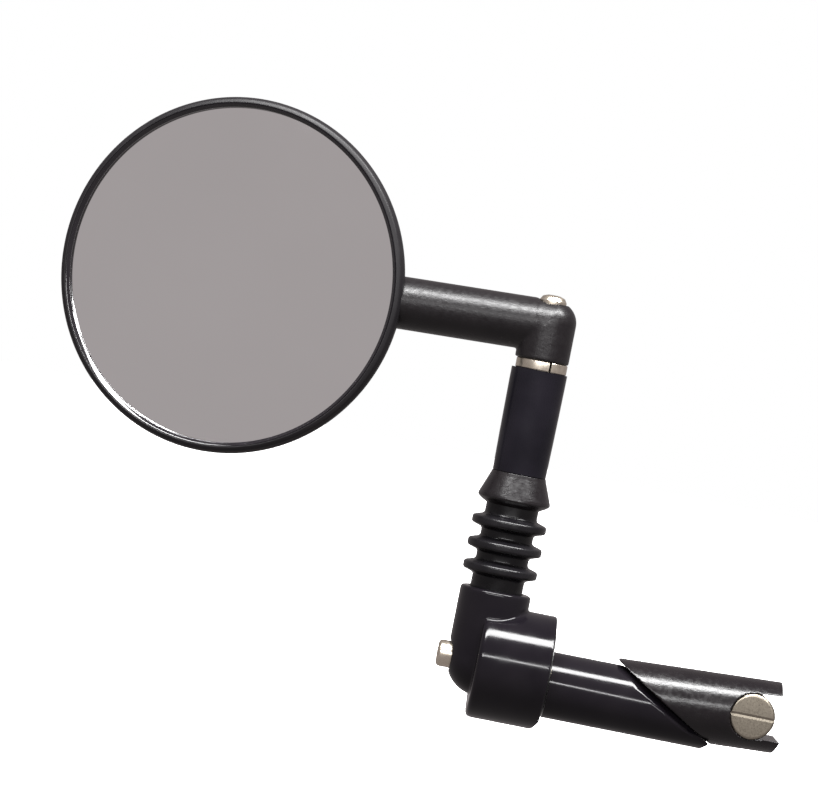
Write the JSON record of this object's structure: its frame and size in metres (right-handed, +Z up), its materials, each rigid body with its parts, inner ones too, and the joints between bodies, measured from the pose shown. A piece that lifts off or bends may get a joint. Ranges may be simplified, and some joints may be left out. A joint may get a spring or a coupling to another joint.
{
  "type": "bar-end bicycle mirror",
  "caption": "Round convex mirror on a stem and elbow, carried by a short arm with a ribbed neck and a knuckle whose expanding plug clamps inside a handlebar end.",
  "frame": {"origin": "on the expander bolt's axis, in the plane of the handlebar's end face", "axes": "+X along the bar axis into the bar's open end, +Z up along the arm, -Y the side the mirror faces before its swivel"},
  "size_m": [0.1811, 0.0405, 0.128],
  "materials": {
    "mirror": "polished",
    "foam": "matte foam",
    "textured_plastic": "fine grain, satin",
    "gloss_plastic": "glossy",
    "painted_tube": "satin",
    "rubber": "matte",
    "nickel": "bright plated",
    "steel": "plain",
    "brass": "machined",
    "slide_plastic": "smooth"
  },
  "bodies": {
    "bar_seat": {"thrust_washer": "slide_plastic"},
    "knuckle_and_arm": {"knuckle": "gloss_plastic", "neck_rod": "steel", "neck_rod_pin": "steel", "ribbed_boot": "rubber", "neck_collar": "textured_plastic", "arm_tube": "painted_tube", "arm_top_insert": "brass", "elbow_spring_washer": "nickel", "elbow_screw": "nickel"},
    "mirror_head": {"mirror_housing": "textured_plastic", "mirror_glass": "mirror", "glass_foam_pad": "foam", "elbow_screw_washer": "steel"},
    "clamp_bolt": {"expander_bolt": "nickel", "bolt_lock_washer": "steel", "bolt_flat_washer": "steel"},
    "wedge_and_nut": {"expander_wedge": "textured_plastic", "barrel_nut": "nickel"},
    "plug": {"bar_plug": "gloss_plastic"}
  },
  "joints": [
    {"name": "knuckle_turn", "type": "hinge", "parent": "bar_seat", "child": "knuckle_and_arm", "pos_m": [0, 0, 0], "axis": [1, 0, 0], "continuous": true},
    {"name": "head_swivel", "type": "hinge", "parent": "knuckle_and_arm", "child": "mirror_head", "pos_m": [-0.0151, 0, 0.0767], "axis": [0, 0, 1], "continuous": true},
    {"name": "bolt_turn", "type": "hinge", "parent": "bar_seat", "child": "clamp_bolt", "pos_m": [0, 0, 0], "axis": [1, 0, 0], "range_deg": [-1260, 900]},
    {"name": "wedge_draw", "type": "slide", "parent": "bar_seat", "child": "wedge_and_nut", "axis": [-1, 0, 0], "range_m": [-0.00246, 0.00176]},
    {"name": "plug_shift", "type": "slide", "parent": "bar_seat", "child": "plug", "axis": [0, 0, -1], "range_m": [-0.00151, 0.00108]}
  ],
  "couplings": [
    {"joint": "wedge_draw", "follows": "bolt_turn", "m_per_rad": 0.00011141},
    {"joint": "plug_shift", "follows": "bolt_turn", "m_per_rad": 0.000068272}
  ]
}
